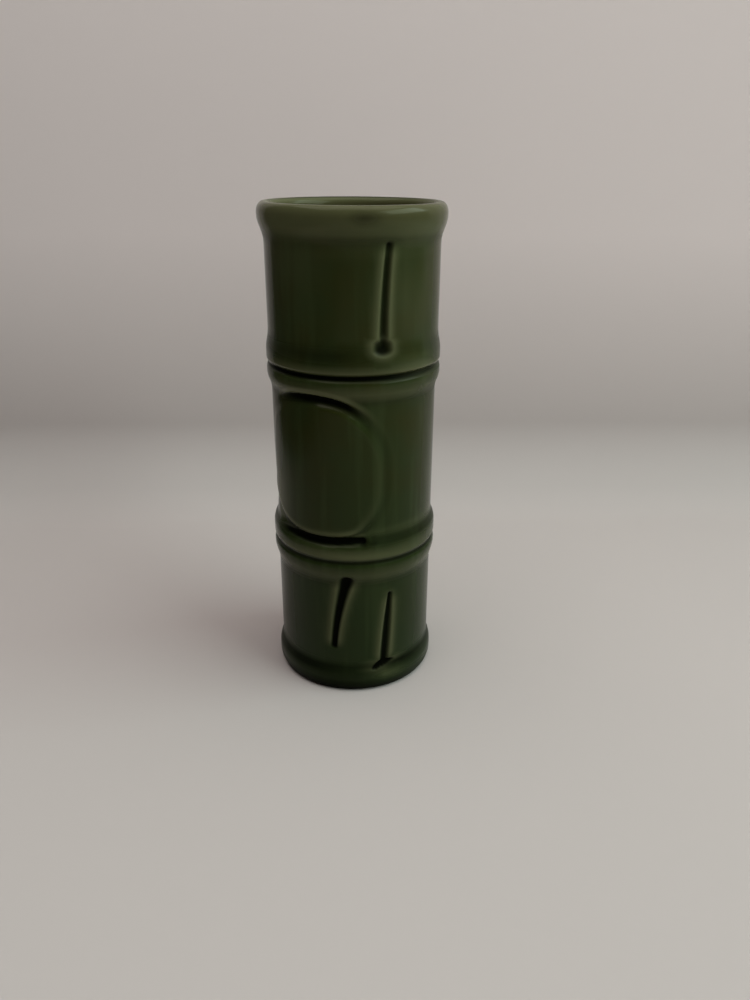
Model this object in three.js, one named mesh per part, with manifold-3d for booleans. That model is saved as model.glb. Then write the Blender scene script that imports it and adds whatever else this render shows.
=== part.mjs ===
// Tumbler vase shaped like a length of bamboo cane: a cast clay body under a coat of glaze.
// Millimetres, +Z up. The origin is the middle of the foot, on the surface that the vase stands on.
// The front, with the oval boss, faces -Y. Degrees round the wall start there and grow towards +X.

import * as THREE from 'three';
import { mergeVertices } from 'three/addons/utils/BufferGeometryUtils.js';
import Module from 'manifold-3d';

// Lengths of the three stretches of cane, measured between the grooves of the rings
const LOWER_LENGTH = 55.5;
const MIDDLE_LENGTH = 67;
const UPPER_LENGTH = 52.5;

// Wall, to the glazed surface
const WALL_R = 29.3;
const WALL_THICKNESS = 4.5;
const UPPER_WIDENING = 0.5;

// Coat of glaze, and the gap that parts it from the clay
const GLAZE = 0.5;
const SEAT_GAP = 0.3;

// Rings where two stretches of cane meet: shoulders either side of a groove, easing into the walls,
// on a shorter run where they meet the middle stretch
const RING_RISE = 1.45;
const UPPER_SHOULDER_BELOW = 3;
const UPPER_SHOULDER_ABOVE = 3.5;
const UPPER_GROOVE_WIDTH = 3;
const UPPER_GROOVE_DEPTH = 1.4;
const LOWER_SHOULDER_BELOW = 2;
const LOWER_SHOULDER_ABOVE = 5;
const LOWER_GROOVE_WIDTH = 2;
const LOWER_GROOVE_DEPTH = 0.75;
const RING_RUN = 8.5;
const MIDDLE_RUN = 6.5;

// Lip: a flare from the upper wall into a rounded bead
const LIP_RISE = 2;
const LIP_FLARE = 9.5;
const LIP_DEPTH = 3.5;
const LIP_WIDTH = 4.5;
const LIP_OUTER_ROUND = 2.4;
const MOUTH_FLARE = 12;

// Foot: a swollen band, rounded under to a bare ring, with a recess inside the ring
const FOOT_RISE = 1.35;
const FOOT_BAND = 6;
const FOOT_RUN = 6.5;
const FOOT_ROUND_HEIGHT = 4;
const FOOT_ROUND_WIDTH = 2.25;
const FOOT_RING_WIDTH = 4;
const RECESS_DEPTH = 2.2;
const RECESS_SLOPE = 1.2;
const BARE_EDGE = 0.3;

// Inside of the floor
const FLOOR_THICKNESS = 5;
const FLOOR_FILLET = 9;

// Oval boss on the middle stretch, domed, with a moat round it that is deeper at its top and bottom
const BOSS_TURN = -28;
const BOSS_WIDTH = 52.8;
const BOSS_TOP_GAP = 7.9;
const BOSS_BOTTOM_GAP = 9.3;
const BOSS_RISE = 0.5;
const LOWER_RIGHT_SQUARENESS = 3.3;
const UPPER_LEFT_SQUARENESS = 3.6;
const OVAL_SQUARENESS = 2;
const BOSS_ROOT = 0.25;
const BOSS_CORE = 0.75;
const MOAT_SIDE_DEPTH = 0.5;
const MOAT_END_DEPTH = 1.5;
const MOAT_WIDTH = 2.4;
const MOAT_FLOOR = 0.6;
const MOAT_REACH = 2.5;

// Drying cracks cut into the cane, on the front and again half a turn round. The long crack runs down
// to a round knot. The others lie on the lower stretch, and a split in the foot joins the right one.
const CRACK_DEPTH = 1.1;
const CRACK_SIDES = [0, 180];
const KNOT_R = 2.35;
const KNOT_GAP = 9.8;
const LONG_CRACK_TOP_GAP = 11;
const LEFT_CRACK_TOP_GAP = 6.4;
const LEFT_CRACK_BOTTOM_GAP = 13;
const RIGHT_CRACK_TOP_GAP = 13.3;
const RIGHT_CRACK_BOTTOM_GAP = 7;
const FOOT_SPLIT_TOP_GAP = 8.2;
const FOOT_SPLIT_BOTTOM_GAP = 3.6;

// Facets: round the vase and round a curve, then on the carving that shows and where glaze covers it
const SEGMENTS = 36;
const ARC_STEPS = 3;
const SEEN_FACETS = { run: 4, oval: 28, grooveSides: 6, grooveSteps: 6 };
const COVERED_FACETS = { run: 2, oval: 18, grooveSides: 4, grooveSteps: 4 };

// Points closer than this are one point
const WELD = 1e-4;

// Heights and radii that follow from the sizes above
const LOWER_RING_Z = LOWER_LENGTH;
const UPPER_RING_Z = LOWER_RING_Z + MIDDLE_LENGTH;
const HEIGHT = UPPER_RING_Z + UPPER_LENGTH;
const UPPER_WALL_R = WALL_R + UPPER_WIDENING;
const RING_R = WALL_R + RING_RISE;
const LIP_R = UPPER_WALL_R + LIP_RISE;
const LIP_Z = HEIGHT - LIP_DEPTH;
const CREST_R = LIP_R - LIP_OUTER_ROUND;
const MOUTH_R = LIP_R - LIP_WIDTH;
const FOOT_R = WALL_R + FOOT_RISE;
const FOOT_EDGE_R = FOOT_R - FOOT_ROUND_WIDTH;
const FOOT_INNER_R = FOOT_EDGE_R - FOOT_RING_WIDTH;
const RECESS_R = FOOT_INNER_R - RECESS_SLOPE;
const INNER_R = WALL_R - WALL_THICKNESS;
const CLAY_INSET = GLAZE + SEAT_GAP;
const FLOOR_Z = RECESS_DEPTH + FLOOR_THICKNESS + CLAY_INSET;

const { lerp, smoothstep, degToRad, radToDeg } = THREE.MathUtils;
const point = (r, z) => new THREE.Vector2(r, z);
const facetsAt = (inset) => (inset > 0 ? COVERED_FACETS : SEEN_FACETS);

const wasm = await Module();
wasm.setup();

// Outside of the vase, as radii at a few heights with an eased run between each two
const OUTER_STATIONS = [
  [FOOT_ROUND_HEIGHT, FOOT_R],
  [FOOT_BAND, FOOT_R],
  [FOOT_BAND + FOOT_RUN, WALL_R],
  [LOWER_RING_Z - LOWER_SHOULDER_BELOW - RING_RUN, WALL_R],
  [LOWER_RING_Z - LOWER_SHOULDER_BELOW, RING_R],
  [LOWER_RING_Z + LOWER_SHOULDER_ABOVE, RING_R],
  [LOWER_RING_Z + LOWER_SHOULDER_ABOVE + MIDDLE_RUN, WALL_R],
  [UPPER_RING_Z - UPPER_SHOULDER_BELOW - MIDDLE_RUN, WALL_R],
  [UPPER_RING_Z - UPPER_SHOULDER_BELOW, RING_R],
  [UPPER_RING_Z + UPPER_SHOULDER_ABOVE, RING_R],
  [UPPER_RING_Z + UPPER_SHOULDER_ABOVE + RING_RUN, UPPER_WALL_R],
  [LIP_Z - LIP_FLARE, UPPER_WALL_R],
  [LIP_Z, LIP_R],
];

// Inside of the vase, in the same way
const INNER_STATIONS = [
  [FLOOR_Z + FLOOR_FILLET, INNER_R],
  [UPPER_RING_Z - RING_RUN, INNER_R],
  [UPPER_RING_Z + RING_RUN, INNER_R + UPPER_WIDENING],
  [LIP_Z - MOUTH_FLARE, INNER_R + UPPER_WIDENING],
  [LIP_Z, MOUTH_R],
];

const GROOVES = [
  { z: LOWER_RING_Z, width: LOWER_GROOVE_WIDTH, depth: LOWER_GROOVE_DEPTH },
  { z: UPPER_RING_Z, width: UPPER_GROOVE_WIDTH, depth: UPPER_GROOVE_DEPTH },
];

// Radius at a height, on the runs between stations
function eased(stations, z) {
  const above = stations.findIndex(([top]) => z <= top);
  const next = above < 0 ? stations.length - 1 : Math.max(1, above);
  const [z0, r0] = stations[next - 1];
  const [z1, r1] = stations[next];
  return lerp(r0, r1, smoothstep(z, z0, z1));
}

// Heights at which the runs between stations need a row of points
function rowHeights(stations, runSteps) {
  const rows = [stations[0][0]];
  for (let i = 1; i < stations.length; i += 1) {
    const [z0, r0] = stations[i - 1];
    const [z1, r1] = stations[i];
    const steps = r0 === r1 ? 1 : runSteps;
    for (let s = 1; s <= steps; s += 1) {
      rows.push(lerp(z0, z1, s / steps));
    }
  }
  return rows;
}

// Stretch of an ellipse about a centre, from one angle to another
function arc(centre, acrossR, acrossZ, from, to) {
  const points = [];
  for (let i = 0; i <= ARC_STEPS; i += 1) {
    const angle = degToRad(lerp(from, to, i / ARC_STEPS));
    points.push(point(centre.x + acrossR * Math.cos(angle), centre.y + acrossZ * Math.sin(angle)));
  }
  return points;
}

// Outer wall from the foot band to the lip, set in from the glazed surface, with the ring grooves
function outerWall(inset) {
  const runSteps = facetsAt(inset).run;
  const heights = rowHeights(OUTER_STATIONS, runSteps);
  const rows = new Map(heights.map((z) => [z, eased(OUTER_STATIONS, z) - inset]));
  for (const groove of GROOVES) {
    const half = groove.width / 2 + inset;
    for (let step = -runSteps; step <= runSteps; step += 2) {
      const share = step / runSteps;
      const z = groove.z + share * half;
      const cut = groove.depth * Math.cos((share * Math.PI) / 2) ** 2;
      rows.set(z, eased(OUTER_STATIONS, z) - inset - cut);
    }
  }
  return [...rows].sort((a, b) => a[0] - b[0]).map(([z, r]) => point(r, z));
}

const outerLip = (inset) => arc(
  point(CREST_R, LIP_Z), LIP_R - CREST_R - inset, LIP_DEPTH - inset, 0, 90);

const innerLip = (inset) => arc(
  point(CREST_R, LIP_Z), CREST_R - MOUTH_R - inset, LIP_DEPTH - inset, 90, 180);

const footRound = (inset, from) => arc(
  point(FOOT_EDGE_R, FOOT_ROUND_HEIGHT), FOOT_ROUND_WIDTH - inset, FOOT_ROUND_HEIGHT, from, 0);

// Inside wall from the lip down to the floor, set into the wall from the glazed surface
function innerWall(inset) {
  const heights = rowHeights(INNER_STATIONS, COVERED_FACETS.run).reverse();
  const wall = heights.map((z) => point(eased(INNER_STATIONS, z) + inset, z));
  const centre = point(INNER_R - FLOOR_FILLET, FLOOR_Z + FLOOR_FILLET);
  const fillet = arc(centre, FLOOR_FILLET + inset, FLOOR_FILLET + inset, 0, -90);
  return [...wall.slice(0, -1), ...fillet, point(0, FLOOR_Z - inset)];
}

// Revolve a profile about the vase's axis
function revolve(profile) {
  const spaced = profile.filter((p, i) => i === 0 || p.distanceTo(profile[i - 1]) > WELD);
  return new THREE.LatheGeometry(spaced, SEGMENTS).rotateX(Math.PI / 2);
}

// Move every point of a shape by a rule, as when a flat carving is laid round the wall
function bend(geometry, rule) {
  const positions = geometry.attributes.position;
  const p = new THREE.Vector3();
  for (let i = 0; i < positions.count; i += 1) {
    p.fromBufferAttribute(positions, i);
    rule(p);
    positions.setXYZ(i, p.x, p.y, p.z);
  }
  return geometry;
}

// Lay a point on the wall: a distance round from the front, a height, and a radius
function onWall(p, round, z, radius) {
  const angle = round / WALL_R;
  return p.set(radius * Math.sin(angle), -radius * Math.cos(angle), z);
}

const roundAt = (degrees) => degToRad(degrees) * WALL_R;

// Solid for joining and cutting, from a closed geometry
function solid(geometry) {
  geometry.deleteAttribute('normal');
  geometry.deleteAttribute('uv');
  const merged = mergeVertices(geometry, WELD);
  const corners = [];
  for (let i = 0; i < merged.index.count; i += 3) {
    const [a, b, c] = merged.index.array.slice(i, i + 3);
    if (a !== b && b !== c && c !== a) {
      corners.push(a, b, c);
    }
  }
  return new wasm.Manifold(new wasm.Mesh({
    numProp: 3,
    vertProperties: Float32Array.from(merged.attributes.position.array),
    triVerts: Uint32Array.from(corners),
  }));
}

// Geometry of a finished solid
function geometryOf(body) {
  const mesh = body.getMesh();
  const geometry = new THREE.BufferGeometry();
  geometry.setAttribute('position', new THREE.BufferAttribute(mesh.vertProperties, 3));
  geometry.setIndex(new THREE.BufferAttribute(mesh.triVerts, 1));
  geometry.computeVertexNormals();
  return geometry;
}

// Boss and moat are revolved about their own middle, drawn out to the oval and laid round the wall.
// A profile point holds the share of the way to the oval's edge and the height over the wall.
const BOSS_HALF_WIDTH = BOSS_WIDTH / 2;
const BOSS_HALF_HEIGHT = (MIDDLE_LENGTH - BOSS_TOP_GAP - BOSS_BOTTOM_GAP) / 2;
const BOSS_Z = LOWER_RING_Z + BOSS_BOTTOM_GAP + BOSS_HALF_HEIGHT;
const BOSS_MEAN_R = (BOSS_HALF_WIDTH + BOSS_HALF_HEIGHT) / 2;

function ovalOnWall(profile, inset) {
  const endDepth = MOAT_END_DEPTH / MOAT_SIDE_DEPTH;
  return bend(new THREE.LatheGeometry(profile, facetsAt(inset).oval), (p) => {
    const angle = Math.atan2(p.z, p.x);
    const right = Math.cos(angle);
    const down = Math.sin(angle);
    const inRight = right > 0;
    const inLower = down > 0;
    const corner = inRight ? LOWER_RIGHT_SQUARENESS : UPPER_LEFT_SQUARENESS;
    const power = inRight === inLower ? corner : OVAL_SQUARENESS;
    const reach = Math.hypot(p.x, p.z) / (Math.abs(right) ** power + Math.abs(down) ** power) ** (1 / power);
    const round = roundAt(BOSS_TURN) + right * reach * BOSS_HALF_WIDTH;
    const sinking = p.y < 0 ? lerp(1, endDepth, down ** 2) : 1;
    onWall(p, round, BOSS_Z - down * reach * BOSS_HALF_HEIGHT, WALL_R - inset + p.y * sinking);
  });
}

function boss(inset) {
  const edge = 1 - inset / BOSS_MEAN_R;
  const root = -MOAT_SIDE_DEPTH - BOSS_ROOT;
  const dome = (share) => (BOSS_RISE + MOAT_SIDE_DEPTH) * Math.sqrt(1 - share ** 6) - MOAT_SIDE_DEPTH;
  const under = [0, 0.35, 0.7, 1].map((share) => point(share * edge, root));
  const over = [1, 0.96, 0.88, 0.75, 0.55, 0.3, 0].map((share) => point(share * edge, dome(share)));
  return solid(ovalOnWall([...under, ...over], inset));
}

function moat(inset) {
  const at = (distance) => 1 + distance / BOSS_MEAN_R;
  const inner = at(-inset) * BOSS_CORE;
  const profile = [
    point(inner, -MOAT_SIDE_DEPTH),
    point(at(MOAT_FLOOR), -MOAT_SIDE_DEPTH),
    point(at(MOAT_WIDTH + inset), 0),
    point(at(MOAT_WIDTH + inset + MOAT_FLOOR), MOAT_REACH),
    point(inner, MOAT_REACH),
    point(inner, -MOAT_SIDE_DEPTH),
  ];
  return solid(ovalOnWall(profile, inset));
}

// Grooves that follow a line on the wall, tapering to both ends. Each line has its turns in degrees,
// spaced evenly between two heights, and its half widths at those heights.
const KNOT_Z = UPPER_RING_Z + KNOT_GAP;
const CRACKS = [
  {
    turns: [18.4, 19.8, 20, 20.2, 22.8],
    bottom: KNOT_Z,
    top: HEIGHT - LONG_CRACK_TOP_GAP,
    halfWidths: [1.2, 0.8],
  },
  {
    turns: [18.4, 18.4],
    bottom: KNOT_Z - KNOT_R,
    top: KNOT_Z + KNOT_R,
    halfWidths: [KNOT_R, KNOT_R],
  },
  {
    turns: [-13.9, -13, -11.3, -8, -3.6],
    bottom: FOOT_BAND + LEFT_CRACK_BOTTOM_GAP,
    top: LOWER_RING_Z - LEFT_CRACK_TOP_GAP,
    halfWidths: [1, 2.2],
  },
  {
    turns: [23.2, 24.3, 25.2, 26, 27],
    bottom: FOOT_BAND + RIGHT_CRACK_BOTTOM_GAP,
    top: LOWER_RING_Z - RIGHT_CRACK_TOP_GAP,
    halfWidths: [1.4, 0.9],
  },
  {
    turns: [14.3, 19.3, 24],
    bottom: FOOT_BAND + FOOT_SPLIT_BOTTOM_GAP,
    top: FOOT_BAND + FOOT_SPLIT_TOP_GAP,
    halfWidths: [0.8, 1.2],
  },
];

function crack({ turns, bottom, top, halfWidths }, inset, turned) {
  const line = new THREE.CatmullRomCurve3(turns.map((degrees, i) => new THREE.Vector3(
    roundAt(degrees), lerp(bottom, top, i / (turns.length - 1)), 0)));
  const { grooveSides, grooveSteps } = facetsAt(inset);
  const spindle = [];
  for (let i = 0; i <= grooveSteps; i += 1) {
    const along = i / grooveSteps;
    spindle.push(point(Math.sqrt(4 * along * (1 - along)), along));
  }
  return solid(bend(new THREE.LatheGeometry(spindle, grooveSides), (p) => {
    const at = line.getPointAt(p.y);
    const way = line.getTangentAt(p.y);
    const across = p.x * (lerp(halfWidths[0], halfWidths[1], p.y) + inset);
    const z = at.y - way.x * across;
    const radius = eased(OUTER_STATIONS, z) - inset + p.z * CRACK_DEPTH;
    onWall(p, roundAt(turned) + at.x + way.y * across, z, radius);
  }));
}

// Carve a turned form: sink the moat, set the boss in it, and cut the cracks
function carved(turnedForm, inset) {
  let body = turnedForm.subtract(moat(inset)).add(boss(inset));
  for (const turned of CRACK_SIDES) {
    for (const line of CRACKS) {
      body = body.subtract(crack(line, inset, turned));
    }
  }
  return body;
}

// Clay body: foot ring and recess, outer wall, lip, inner wall and floor in one turned profile
function clayBody() {
  const profile = [
    point(0, RECESS_DEPTH),
    point(RECESS_R, RECESS_DEPTH),
    point(FOOT_INNER_R, 0),
    ...footRound(CLAY_INSET, -90),
    ...outerWall(CLAY_INSET),
    ...outerLip(CLAY_INSET),
    ...innerLip(CLAY_INSET),
    ...innerWall(CLAY_INSET),
  ];
  return geometryOf(carved(solid(revolve(profile)), CLAY_INSET));
}

// Outer glaze: the coat from just above the bare foot to the crest of the lip
function outerGlaze() {
  const joint = CREST_R + SEAT_GAP / 2;
  const edge = radToDeg(Math.asin(1 - BARE_EDGE / FOOT_ROUND_HEIGHT));
  const seen = [
    point(0, BARE_EDGE),
    ...footRound(0, -edge),
    ...outerWall(0),
    ...outerLip(0),
    point(0, HEIGHT),
  ];
  const hidden = [
    point(0, 0),
    ...footRound(GLAZE, -90),
    ...outerWall(GLAZE),
    ...outerLip(GLAZE).filter((p) => p.x > joint),
    point(joint, HEIGHT - GLAZE),
    point(joint, HEIGHT + GLAZE),
    point(0, HEIGHT + GLAZE),
  ];
  const skin = carved(solid(revolve(seen)), 0);
  return geometryOf(skin.subtract(carved(solid(revolve(hidden)), GLAZE)));
}

// Liner glaze: the coat inside, from the crest of the lip down over the floor
function linerGlaze() {
  const joint = CREST_R - SEAT_GAP / 2;
  const lip = (inset) => [
    point(joint, HEIGHT - inset),
    ...innerLip(inset).filter((p) => p.x < joint),
  ];
  const hidden = [...lip(GLAZE), ...innerWall(GLAZE)].reverse();
  const seen = [...lip(0), ...innerWall(0)];
  return geometryOf(solid(revolve([...hidden, ...seen])));
}

// Underside glaze: the coat on the ceiling of the recess, inside the bare ring
function undersideGlaze() {
  const top = RECESS_DEPTH - SEAT_GAP;
  const radius = RECESS_R - SEAT_GAP;
  const profile = [
    point(0, top - GLAZE),
    point(radius - GLAZE, top - GLAZE),
    ...arc(point(radius - GLAZE, top), GLAZE, GLAZE, -90, 0),
    point(0, top),
  ];
  return geometryOf(solid(revolve(profile)));
}

const glazeGreen = new THREE.MeshStandardMaterial({ color: '#36402a', roughness: 0.15, metalness: 0 });
const bareClay = new THREE.MeshStandardMaterial({ color: '#cdb99a', roughness: 0.85, metalness: 0 });

const vase = new THREE.Group();
const pieces = {
  clay_body: [clayBody(), bareClay],
  outer_glaze: [outerGlaze(), glazeGreen],
  liner_glaze: [linerGlaze(), glazeGreen],
  underside_glaze: [undersideGlaze(), glazeGreen],
};
for (const [name, [geometry, material]] of Object.entries(pieces)) {
  const mesh = new THREE.Mesh(geometry, material);
  mesh.name = name;
  vase.add(mesh);
}

export default vase;
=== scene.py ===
# %% [markdown]
# # A bamboo tumbler vase in green glaze
# The vase is one slip-cast piece of clay in the form of a length of bamboo cane, dipped in a glossy dark
# green glaze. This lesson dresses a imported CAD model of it. The frame gives the size, and here each layer
# gets its fine surface, its carving and its finish. Numbers are millimetres and degrees until a finished
# mesh is scaled to metres.

# %% Load the frame
import math
from collections import namedtuple

import bmesh
import bpy
import numpy as np
from mathutils import Matrix, Vector


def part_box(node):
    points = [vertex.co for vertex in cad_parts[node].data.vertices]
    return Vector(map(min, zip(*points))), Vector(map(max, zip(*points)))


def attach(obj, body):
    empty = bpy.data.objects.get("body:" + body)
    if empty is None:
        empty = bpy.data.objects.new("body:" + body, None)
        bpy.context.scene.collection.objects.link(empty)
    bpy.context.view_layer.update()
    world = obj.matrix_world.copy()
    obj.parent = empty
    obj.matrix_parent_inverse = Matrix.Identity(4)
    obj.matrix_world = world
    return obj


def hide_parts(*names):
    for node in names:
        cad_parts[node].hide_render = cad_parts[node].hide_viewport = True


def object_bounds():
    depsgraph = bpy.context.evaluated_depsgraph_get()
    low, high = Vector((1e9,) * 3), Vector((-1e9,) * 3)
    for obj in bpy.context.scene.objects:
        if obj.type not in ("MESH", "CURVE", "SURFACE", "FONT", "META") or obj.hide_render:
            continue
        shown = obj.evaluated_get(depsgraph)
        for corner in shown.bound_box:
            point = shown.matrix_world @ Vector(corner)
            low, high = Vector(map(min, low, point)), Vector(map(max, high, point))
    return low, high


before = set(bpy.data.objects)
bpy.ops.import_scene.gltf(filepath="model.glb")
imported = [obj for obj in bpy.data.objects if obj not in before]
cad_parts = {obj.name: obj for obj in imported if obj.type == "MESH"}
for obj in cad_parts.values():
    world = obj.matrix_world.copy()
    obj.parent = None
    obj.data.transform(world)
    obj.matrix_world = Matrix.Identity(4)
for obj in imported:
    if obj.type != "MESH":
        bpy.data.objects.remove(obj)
cad_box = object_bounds()
MM = 0.001
HEIGHT = round(cad_box[1].z / MM, 2)
LIP_R = round(cad_box[1].x / MM, 2)
print("frame: height", HEIGHT, "mm, lip radius", LIP_R, "mm")

# %% [markdown]
# ## Camera
# The rim, the two rings and the foot are circles, and the widths and tilts of their ellipses in the picture
# tell where the lens was: close to the vase, a little above its rim, looking down. A wide phone lens that
# near makes the foot look smaller than the rim, so the distance matters more than the framing. The camera
# could be aimed with a constraint, but three turns say it plainly: roll, then tilt, then a turn to one side.

# %% Make the camera
FOCAL_PIXELS = 780
LONG_SIDE_PIXELS = 1000
SENSOR = 36
CAMERA_BACK = 275.6
CAMERA_HEIGHT = 187.8
CAMERA_PITCH = 23.67
CAMERA_YAW = 1.66
CAMERA_ROLL = 0.3

lens = bpy.data.cameras.new("camera")
lens.sensor_width = SENSOR
lens.lens = SENSOR * FOCAL_PIXELS / LONG_SIDE_PIXELS
lens.clip_start = 0.01
camera = bpy.data.objects.new("camera", lens)
aim = Matrix.Rotation(math.radians(-CAMERA_YAW), 4, "Z")
aim @= Matrix.Rotation(math.radians(90 - CAMERA_PITCH), 4, "X")
aim @= Matrix.Rotation(math.radians(CAMERA_ROLL), 4, "Z")
camera.matrix_world = Matrix.Translation((0, -CAMERA_BACK * MM, CAMERA_HEIGHT * MM)) @ aim
bpy.context.scene.collection.objects.link(camera)
bpy.context.scene.camera = camera
print("camera: lens", round(lens.lens, 2), "mm")

# %% [markdown]
# ## Profile of the cane
# Seen from the side, the cane is three straight stretches. Where two meet, the wall swells into a collar
# with a groove round its middle, the foot swells into a band, and the top flares into a rounded lip. A curve
# object could hold that outline, but a rule for the radius at any height serves better, because the carving
# and the way the glaze gathers are worked out from it too. A few stations carry the sizes, with S-shaped
# runs between.

# %% Write the radius of the wall as a rule
LOWER_RING_Z = 55.5
UPPER_RING_Z = 122.5
WALL_R = 29.3
LIP_OVERHANG = 2
UPPER_WALL_R = LIP_R - LIP_OVERHANG
RING_RISE = 1.45
RING_R = WALL_R + RING_RISE
RING_RUN = 8.5
RING_SHORT_RUN = 6.5
LOWER_SHOULDER_BELOW = 2
LOWER_SHOULDER_ABOVE = 5
UPPER_SHOULDER_BELOW = 3
UPPER_SHOULDER_ABOVE = 3.5
LIP_DEPTH = 3.5
LIP_Z = HEIGHT - LIP_DEPTH
LIP_FLARE = 9.5
FOOT_RISE = 1.35
FOOT_R = WALL_R + FOOT_RISE
FOOT_ROUND_HEIGHT = 4
FOOT_BAND = 6
FOOT_RUN = 6.5

WALL_STATIONS = (
    (FOOT_ROUND_HEIGHT, FOOT_R),
    (FOOT_BAND, FOOT_R),
    (FOOT_BAND + FOOT_RUN, WALL_R),
    (LOWER_RING_Z - LOWER_SHOULDER_BELOW - RING_RUN, WALL_R),
    (LOWER_RING_Z - LOWER_SHOULDER_BELOW, RING_R),
    (LOWER_RING_Z + LOWER_SHOULDER_ABOVE, RING_R),
    (LOWER_RING_Z + LOWER_SHOULDER_ABOVE + RING_SHORT_RUN, WALL_R),
    (UPPER_RING_Z - UPPER_SHOULDER_BELOW - RING_SHORT_RUN, WALL_R),
    (UPPER_RING_Z - UPPER_SHOULDER_BELOW, RING_R),
    (UPPER_RING_Z + UPPER_SHOULDER_ABOVE, RING_R),
    (UPPER_RING_Z + UPPER_SHOULDER_ABOVE + RING_RUN, UPPER_WALL_R),
    (LIP_Z - LIP_FLARE, UPPER_WALL_R),
    (LIP_Z, LIP_R),
)

# Height, whole width and depth of the groove round each collar, and the share of that depth which fades
# out towards the sides, between two turns from the front
GROOVES = (
    (LOWER_RING_Z, 4, 0.65, 0),
    (UPPER_RING_Z, 3.8, 1.4, 0.6),
)
GROOVE_SIDE_TURNS = (50, 78)


def rise(x, low, high):
    """0 up to low, 1 from high on, and an S-shaped rise between."""
    share = np.clip((x - low) / (high - low), 0, 1)
    return share * share * (3 - 2 * share)


def bump(x, middle, half):
    """A smooth bump, 1 high at its middle."""
    return np.exp(-(((x - middle) / half) ** 2))


def eased(stations, z):
    """Radius at each height, with runs between stations that start and end too gently for gloss to show."""
    radius = stations[0][1]
    for (low, before), (high, after) in zip(stations, stations[1:]):
        share = np.clip((z - low) / (high - low), 0, 1)
        radius = radius + (after - before) * share ** 3 * (10 + share * (6 * share - 15))
    return radius


def wall(z, side=0):
    """Radius of the turned wall at each height, before any carving. Side goes from 0 to 1 at the sides."""
    radius = eased(WALL_STATIONS, z)
    for height, width, depth, lost in GROOVES:
        share = np.clip((z - height) / width, -0.5, 0.5)
        radius = radius - depth * (1 - lost * side) * np.cos(math.pi * share) ** 2
    return radius


print("profile:", len(WALL_STATIONS), "stations,", len(GROOVES), "grooves")

# %% [markdown]
# ## Oval boss
# On the middle stretch the modeller left a large oval swelling, the scar of a leaf. It stands in a shallow
# moat that deepens to a slot along its top, where the collar overhangs and the oval slopes softly in. Under
# the oval a second slot runs nearly level, and a shallow scoop at the lower left thins the wall beside it. A
# boolean of an oval block would give hard, even edges, so the boss is a rule too: distance from the oval's
# outline picks the height.

# %% Write the boss and its moat as a rule
BOSS_TURN = -28
BOSS_HALF_WIDTH = 26.4
BOSS_HALF_HEIGHT = 24.9
BOSS_Z = 89.7
BOSS_RISE = 0.5
DOME_FALL = 0.25
UPPER_LEFT_SQUARENESS = 2.8
UPPER_RIGHT_SQUARENESS = 2.1
LOWER_LEFT_SQUARENESS = 2.4
LOWER_RIGHT_SQUARENESS = 2.9
MOAT_DEPTH = {"left": 0, "right": 0.1, "top": 1.5, "low": 0.5}
MOAT_FLOOR = {"left": 0.3, "right": 0.2, "top": 1.0, "low": 0.5}
MOAT_BANK = {"left": 2, "right": 2.4, "top": 2.2, "low": 5}
BOSS_SLOPE = {"left": 5, "right": 4.2, "top": 3, "low": 1.4}

# Shares of the oval's half sizes over which one side of the moat gives way to the next
RIGHT_FADE = (0.1, 0.6)
END_FADE = (0.2, 0.5)
TOP_LEFT_FADE = (-0.8, 0)
TOP_RIGHT_FADE = (0.36, 0.85)
LOW_RIGHT_FADE = (0.5, 0.8)

# The slot under the boss: turns where it starts, is deep, starts to close and is closed, then its climb
SLOT_TURNS = (-75, -32, 5, 10)
SLOT_CLIMB_TURNS = (-25, 5)
SLOT_Z = (63.5, 64.2)
SLOT_DEPTH = 1.1
SLOT_R = WALL_R - SLOT_DEPTH
SLOT_FLOOR = 0.2
SLOT_TOP = 1.6
SLOT_BANK = 2.7

# The scoop at the lower left of the boss
SCOOP_TURN = -86
SCOOP_HALF_TURN = 14
SCOOP_Z = 76.5
SCOOP_HALF_HEIGHT = 7.5
SCOOP_DEPTH = 0.9


def turned_from(turn, middle):
    """Turn from a middle, the short way round."""
    return (turn - middle + 180) % 360 - 180


def boss_place(turn, z):
    """Shares of the oval's half sizes across and up, and the distance out from its outline."""
    across = np.radians(turned_from(turn, BOSS_TURN)) * WALL_R / BOSS_HALF_WIDTH
    up = (z - BOSS_Z) / BOSS_HALF_HEIGHT
    upper = np.where(across < 0, UPPER_LEFT_SQUARENESS, UPPER_RIGHT_SQUARENESS)
    lower = np.where(across < 0, LOWER_LEFT_SQUARENESS, LOWER_RIGHT_SQUARENESS)
    power = np.where(up < 0, lower, upper)
    share = (np.abs(across) ** power + np.abs(up) ** power) ** (1 / power)
    reach = np.hypot(across * BOSS_HALF_WIDTH, up * BOSS_HALF_HEIGHT)
    return across, up, share, reach * (1 - 1 / np.maximum(share, 1e-6))


def slotted(turn, z, radius):
    """Radius with the slot under the boss cut in, which runs nearly level."""
    start, full, end, closed = SLOT_TURNS
    from_front = turned_from(turn, 0)
    above = z - SLOT_Z[0] - (SLOT_Z[1] - SLOT_Z[0]) * rise(from_front, *SLOT_CLIMB_TURNS)
    share = rise(from_front, start, full) * (1 - rise(from_front, end, closed))
    share = share * (1 - rise(above, SLOT_FLOOR, SLOT_TOP)) * (1 - rise(-above, SLOT_FLOOR, SLOT_BANK))
    return radius + np.minimum(SLOT_R - radius, 0) * share


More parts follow.
